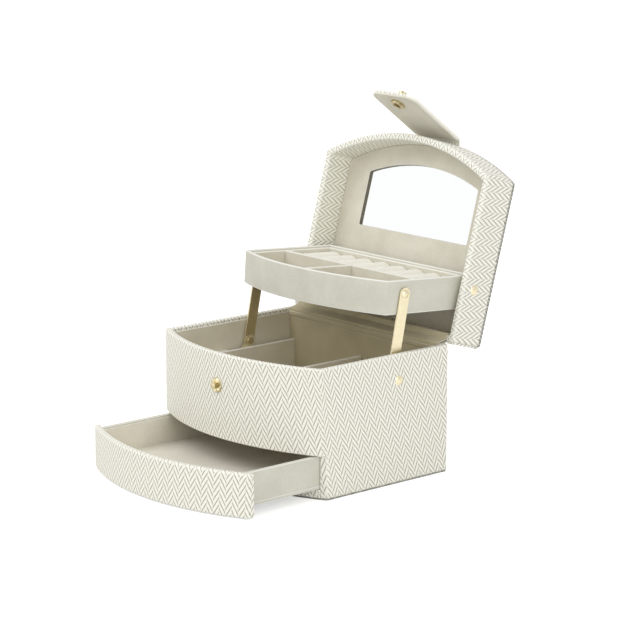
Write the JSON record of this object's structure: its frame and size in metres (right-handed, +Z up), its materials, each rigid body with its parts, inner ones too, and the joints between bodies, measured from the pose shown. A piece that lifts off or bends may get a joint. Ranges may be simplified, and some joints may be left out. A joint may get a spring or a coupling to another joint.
{
  "type": "jewelry box",
  "caption": "Bow-fronted jewelry box with a mirrored lid, a tray that lifts as the lid opens, a front drawer and a snap strap.",
  "frame": {"origin": "on the table, under the middle of the closed case", "axes": "+X to the right seen from the front, +Y to the back, +Z up"},
  "size_m": [0.1724, 0.2748, 0.2586],
  "materials": {
    "leatherette": "herringbone embossed",
    "suedette": "short nap",
    "roll_cloth": "short nap",
    "brass": "polished",
    "mirror_glass": "silvered",
    "base_cloth": "smooth cloth"
  },
  "bodies": {
    "case": {"arm_washers": "brass", "back_lining": "suedette", "back_wall": "leatherette", "base_board": "leatherette", "base_liner": "base_cloth", "case_rivets": "brass", "deck": "suedette", "deck_lining": "suedette", "front_lining": "suedette", "front_panel": "leatherette", "hinge_lining": "suedette", "hinge_strip": "leatherette", "left_arm_bracket": "brass", "left_channel_partition": "suedette", "left_channel_spacer": "suedette", "left_side_lining": "suedette", "left_side_wall": "leatherette", "middle_partition": "suedette", "right_arm_bracket": "brass", "right_channel_partition": "suedette", "right_channel_spacer": "suedette", "right_side_lining": "suedette", "right_side_wall": "leatherette", "snap_stud": "brass"},
    "lid": {"lid_top_board": "leatherette", "lid_front_wall": "leatherette", "left_lid_wall": "leatherette", "right_lid_wall": "leatherette", "lid_back_wall": "leatherette", "lid_panel": "suedette", "mirror": "mirror_glass", "lid_rivets": "brass"},
    "lift_arms": {"left_lift_arm": "brass", "right_lift_arm": "brass"},
    "tray": {"left_tray_wall": "suedette", "right_tray_wall": "suedette", "ring_roll_1": "roll_cloth", "ring_roll_2": "roll_cloth", "ring_roll_3": "roll_cloth", "ring_roll_4": "roll_cloth", "ring_roll_5": "roll_cloth", "ring_roll_6": "roll_cloth", "ring_roll_7": "roll_cloth", "ring_roll_8": "roll_cloth", "tray_back_wall": "suedette", "tray_cross_divider": "suedette", "tray_floor": "suedette", "tray_front_wall": "suedette", "tray_rivets": "brass", "tray_short_divider": "suedette"},
    "drawer": {"drawer_back": "suedette", "drawer_floor": "suedette", "drawer_front": "leatherette", "drawer_lining": "suedette", "left_drawer_side": "suedette", "right_drawer_side": "suedette"},
    "strap": {"strap_cover": "leatherette", "strap_lining": "suedette", "snap_socket": "brass", "snap_cap": "brass"}
  },
  "joints": [
    {"name": "lid_hinge", "type": "hinge", "parent": "case", "child": "lid", "pos_m": [0, 0.0716, 0.0907], "axis": [1, 0, 0], "range_deg": [0, 106], "deforming": ["hinge_strip", "hinge_lining"]},
    {"name": "arm_lift", "type": "hinge", "parent": "case", "child": "lift_arms", "pos_m": [0, 0.02249, 0.0734], "axis": [1, 0, 0], "range_deg": [0, 72.3]},
    {"name": "tray_level", "type": "hinge", "parent": "lift_arms", "child": "tray", "pos_m": [0, 0.03433, 0.13103], "axis": [1, 0, 0], "range_deg": [-68.1, 0]},
    {"name": "strap_swing", "type": "hinge", "parent": "lid", "child": "strap", "pos_m": [0, 0.13901, 0.2166], "axis": [1, 0, 0], "range_deg": [-73, 17.21]},
    {"name": "drawer_slide", "type": "slide", "parent": "case", "child": "drawer", "axis": [0, -1, 0], "range_m": [-0.064, 0.025]}
  ],
  "couplings": [
    {"joint": "arm_lift", "follows": "lid_hinge", "ratio": 0.68203},
    {"joint": "tray_level", "follows": "lid_hinge", "ratio": -0.64241}
  ]
}
